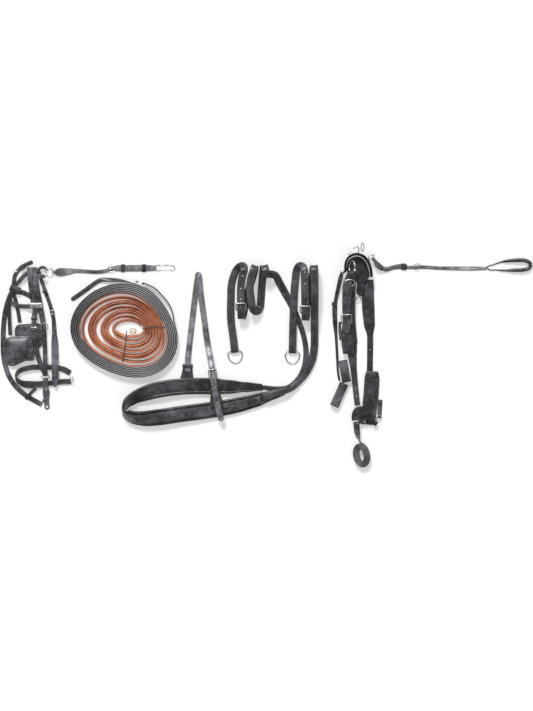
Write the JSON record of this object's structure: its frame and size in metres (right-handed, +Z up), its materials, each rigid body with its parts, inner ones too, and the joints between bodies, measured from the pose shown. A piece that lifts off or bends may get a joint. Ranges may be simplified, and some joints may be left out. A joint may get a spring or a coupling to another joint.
{
  "type": "driving harness",
  "caption": "Pony driving harness laid flat: blinker bridle with overcheck, coiled reins, breast collar with coiled traces, saddle with girth and tugs, back strap and crupper.",
  "frame": {"origin": "on the floor, in the middle of the laid-out harness's bounding box", "axes": "+X along the row of sets from the bridle to the crupper, +Y toward the crown and the saddle's top, +Z up from the floor"},
  "size_m": [1.751, 0.7276, 0.0731],
  "materials": {
    "black_leather": "oiled black harness leather, smooth grain",
    "worn_leather": "black harness leather, rubbed grey and shiny",
    "russet_leather": "russet brown leather, undyed edges",
    "nickel": "nickel plate, dulled by use"
  },
  "bodies": {
    "harness": {"back_strap_buckle": "nickel", "bearing_hook": "nickel", "belly_strap": "worn_leather", "bit_ring": "nickel", "bit_strap": "worn_leather", "blinker_stay": "black_leather", "browband": "worn_leather", "check_hanger": "black_leather", "collar_lining": "black_leather", "collar_strap": "worn_leather", "crown_piece": "worn_leather", "far_blinker": "worn_leather", "far_cheek_strap": "black_leather", "far_hand_part": "russet_leather", "far_rein": "black_leather", "far_skirt": "black_leather", "far_trace": "black_leather", "far_trace_buckle": "nickel", "far_tug": "black_leather", "girth_end": "black_leather", "girth_pad": "black_leather", "near_cheek_buckle": "nickel", "near_cheek_strap": "black_leather", "near_girth_strap": "black_leather", "near_hand_part": "russet_leather", "near_rein": "black_leather", "near_skirt": "black_leather", "near_terret": "nickel", "near_trace": "black_leather", "near_trace_buckle": "nickel", "near_tug": "black_leather", "neck_buckle": "nickel", "neck_strap": "worn_leather", "noseband": "black_leather", "overcheck_ring": "nickel", "poll_strap": "black_leather", "saddle_pad": "black_leather", "saddle_seat": "black_leather", "shaft_tug": "black_leather", "side_strap": "worn_leather", "sleeve_strap": "black_leather", "throatlatch": "worn_leather", "tug_buckle": "nickel", "tug_sleeve_lower": "worn_leather", "tug_sleeve_upper": "worn_leather", "tug_strap": "worn_leather"},
    "near_cheek_tongue": {"near_cheek_tongue": "nickel"},
    "neck_tongue": {"neck_tongue": "nickel"},
    "near_trace_tongue": {"near_trace_tongue": "nickel"},
    "far_trace_tongue": {"far_trace_tongue": "nickel"},
    "tug_tongue": {"tug_tongue": "nickel"},
    "near_trace_ring": {"near_trace_ring": "nickel"},
    "far_trace_ring": {"far_trace_ring": "nickel"},
    "girth_ring": {"girth_ring": "nickel"},
    "near_blinker": {"near_blinker": "worn_leather"},
    "overcheck": {"overcheck_strap": "worn_leather", "overcheck_snap": "nickel"},
    "overcheck_gate": {"overcheck_gate": "nickel"},
    "back_strap": {"back_strap": "worn_leather", "crupper_dock": "black_leather"}
  },
  "joints": [
    {"name": "near_cheek_tongue_swing", "type": "hinge", "parent": "harness", "child": "near_cheek_tongue", "pos_m": [-0.76131, 0.0705, 0.01], "axis": [0.9954, 0.0954, 0], "range_deg": [0, 70]},
    {"name": "neck_tongue_swing", "type": "hinge", "parent": "harness", "child": "neck_tongue", "pos_m": [-0.17392, -0.07565, 0.02835], "axis": [0.9918, 0.1275, 0], "range_deg": [0, 70]},
    {"name": "near_trace_tongue_swing", "type": "hinge", "parent": "harness", "child": "near_trace_tongue", "pos_m": [0.12738, 0.14281, 0.04065], "axis": [0.9995, 0.0328, 0], "range_deg": [0, 70]},
    {"name": "far_trace_tongue_swing", "type": "hinge", "parent": "harness", "child": "far_trace_tongue", "pos_m": [-0.08276, 0.15219, 0.03585], "axis": [0.9987, 0.0516, 0], "range_deg": [0, 70]},
    {"name": "tug_tongue_swing", "type": "hinge", "parent": "harness", "child": "tug_tongue", "pos_m": [0.26324, 0.10946, 0.01872], "axis": [0.9984, 0.0573, 0], "range_deg": [0, 70]},
    {"name": "near_trace_ring_swing", "type": "hinge", "parent": "harness", "child": "near_trace_ring", "pos_m": [0.08608, 0.01749, 0.0071], "axis": [-0.9998, 0.0181, 0], "range_deg": [0, 150]},
    {"name": "far_trace_ring_swing", "type": "hinge", "parent": "harness", "child": "far_trace_ring", "pos_m": [-0.10415, 0.01913, 0.0071], "axis": [-0.9942, -0.1078, 0], "range_deg": [0, 150]},
    {"name": "girth_ring_swing", "type": "hinge", "parent": "harness", "child": "girth_ring", "pos_m": [0.36183, -0.2019, 0.0082], "axis": [0, -1, 0], "range_deg": [0, 95]},
    {"name": "near_blinker_fold", "type": "hinge", "parent": "harness", "child": "near_blinker", "pos_m": [-0.76164, -0.00303, 0.00971], "axis": [-0.1483, 0.9889, 0], "range_deg": [0, 30]},
    {"name": "overcheck_swing", "type": "hinge", "parent": "harness", "child": "overcheck", "pos_m": [-0.71383, 0.27823, 0.00515], "axis": [0, 0, 1], "range_deg": [-4, 30]},
    {"name": "overcheck_gate_spring", "type": "hinge", "parent": "overcheck", "child": "overcheck_gate", "pos_m": [-0.35068, 0.28483, 0.0018], "axis": [0, 0, 1], "range_deg": [0, 15], "stiffness_Nm_per_rad": 0.02},
    {"name": "back_strap_lift", "type": "hinge", "parent": "harness", "child": "back_strap", "pos_m": [0.34951, 0.32151, 0.01905], "axis": [-0.6973, -0.7167, 0], "range_deg": [0, 60]}
  ]
}
